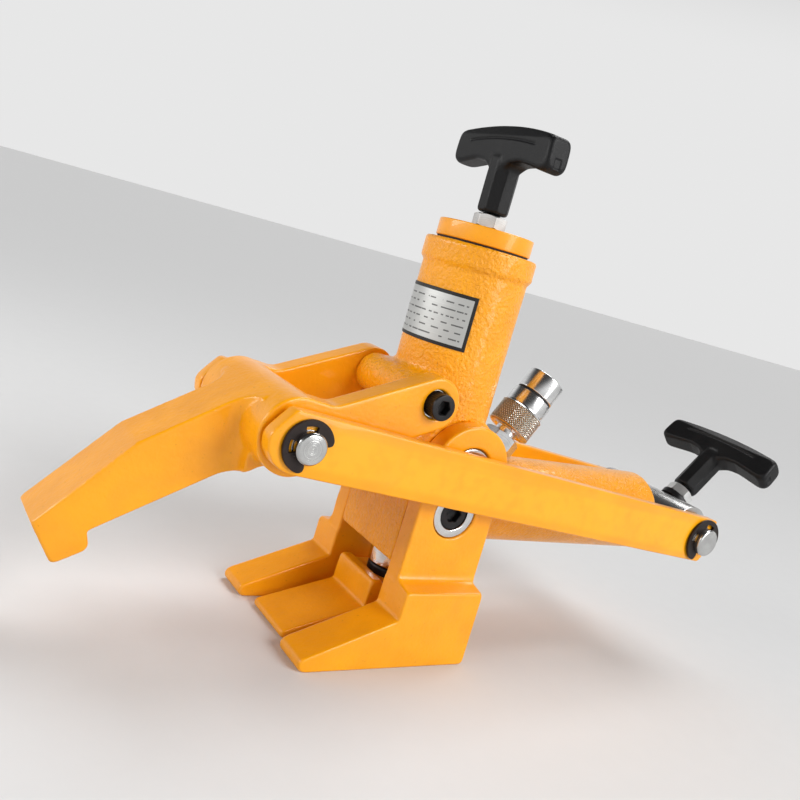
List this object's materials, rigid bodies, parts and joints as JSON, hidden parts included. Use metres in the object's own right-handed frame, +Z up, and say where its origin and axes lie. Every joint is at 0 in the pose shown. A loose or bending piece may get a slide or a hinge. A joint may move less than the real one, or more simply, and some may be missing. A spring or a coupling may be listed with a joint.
{
  "type": "hydraulic bead breaker",
  "caption": "Hydraulic bead breaker: a hooked jaw pulled by a clamp cylinder grips a wheel rim while a push cylinder forces the tyre bead off its seat.",
  "frame": {"origin": "on the push cylinder's axis, on the pusher foot's sole, level with the leg soles", "axes": "+X from the jaw towards the clamp crossbar, +Y along the pivot pins, +Z up the push cylinder"},
  "size_m": [0.5364, 0.132, 0.334],
  "materials": {
    "paint": "gloss enamel over cast and plate steel",
    "steel": "machined",
    "chrome": "bright plated",
    "black_steel": "black oxide",
    "plastic": "moulded, fine grain",
    "rubber": "moulded",
    "bronze": "turned",
    "plate": "brushed, black border, no lettering"
  },
  "bodies": {
    "frame": {"body_casting": "paint", "leg_left": "paint", "leg_right": "paint", "leg_dowels": "chrome", "leg_screws": "black_steel", "cylinder_cap": "paint", "cap_gasket": "rubber", "top_grip_stud": "steel", "top_grip_nut": "chrome", "top_grip": "plastic", "push_guide_bush": "bronze", "push_wiper": "rubber", "clamp_gland": "steel", "clamp_wiper": "rubber", "push_return_spring": "steel", "clamp_return_spring": "steel", "coupler_adapter": "chrome", "coupler_body": "chrome", "coupler_ring": "rubber", "poppet_spring": "steel", "name_plate": "plate", "jaw_pivot_sleeves": "chrome", "jaw_pivot_screws": "black_steel"},
    "coupler_collar": {"coupler_collar": "chrome"},
    "coupler_poppet": {"coupler_poppet": "steel"},
    "push_ram": {"push_piston": "steel", "push_piston_seal": "rubber", "push_rod": "chrome", "rod_collar": "black_steel", "pusher_foot": "paint", "foot_set_screw": "black_steel"},
    "clamp_ram": {"clamp_piston": "steel", "clamp_piston_seal": "rubber", "clamp_rod": "chrome", "crossbar": "steel", "crossbar_screw": "black_steel", "crossbar_rings": "black_steel", "clamp_grip_stud": "steel", "clamp_grip_washer": "black_steel", "clamp_grip_nut": "chrome", "clamp_grip": "plastic"},
    "jaw": {"jaw": "paint"},
    "side_links": {"side_link_left": "paint", "side_link_right": "paint", "jaw_pin": "steel", "jaw_pin_rings": "black_steel"}
  },
  "joints": [
    {"name": "jaw_clamp", "type": "hinge", "parent": "frame", "child": "jaw", "pos_m": [-0.0345, 0, 0.163], "axis": [0, -1, 0], "range_deg": [0, 36]},
    {"name": "clamp_ram_slide", "type": "slide", "parent": "frame", "child": "clamp_ram", "axis": [1, 0, 0], "range_m": [0, 0.0345], "stiffness_N_per_m": 3500, "springref_m": -0.06, "deforming": ["clamp_return_spring"]},
    {"name": "side_links_swing", "type": "hinge", "parent": "clamp_ram", "child": "side_links", "pos_m": [0.235, 0, 0.095], "axis": [0, -1, 0], "range_deg": [0, 7.5]},
    {"name": "push_ram_slide", "type": "slide", "parent": "frame", "child": "push_ram", "axis": [0, 0, -1], "range_m": [0, 0.065], "stiffness_N_per_m": 1500, "springref_m": -0.06, "deforming": ["push_return_spring"]},
    {"name": "coupler_collar_spin", "type": "hinge", "parent": "frame", "child": "coupler_collar", "pos_m": [0.06954, 0, 0.15124], "axis": [0.4848, 0, 0.8746], "continuous": true},
    {"name": "coupler_poppet_slide", "type": "slide", "parent": "frame", "child": "coupler_poppet", "axis": [-0.4848, 0, -0.8746], "range_m": [0, 0.003], "stiffness_N_per_m": 800, "springref_m": -0.004, "deforming": ["poppet_spring"]}
  ],
  "couplings": [
    {"joint": "clamp_ram_slide", "follows": "jaw_clamp", "m_per_rad": 0.0542},
    {"joint": "side_links_swing", "follows": "jaw_clamp", "ratio": 0.206}
  ]
}
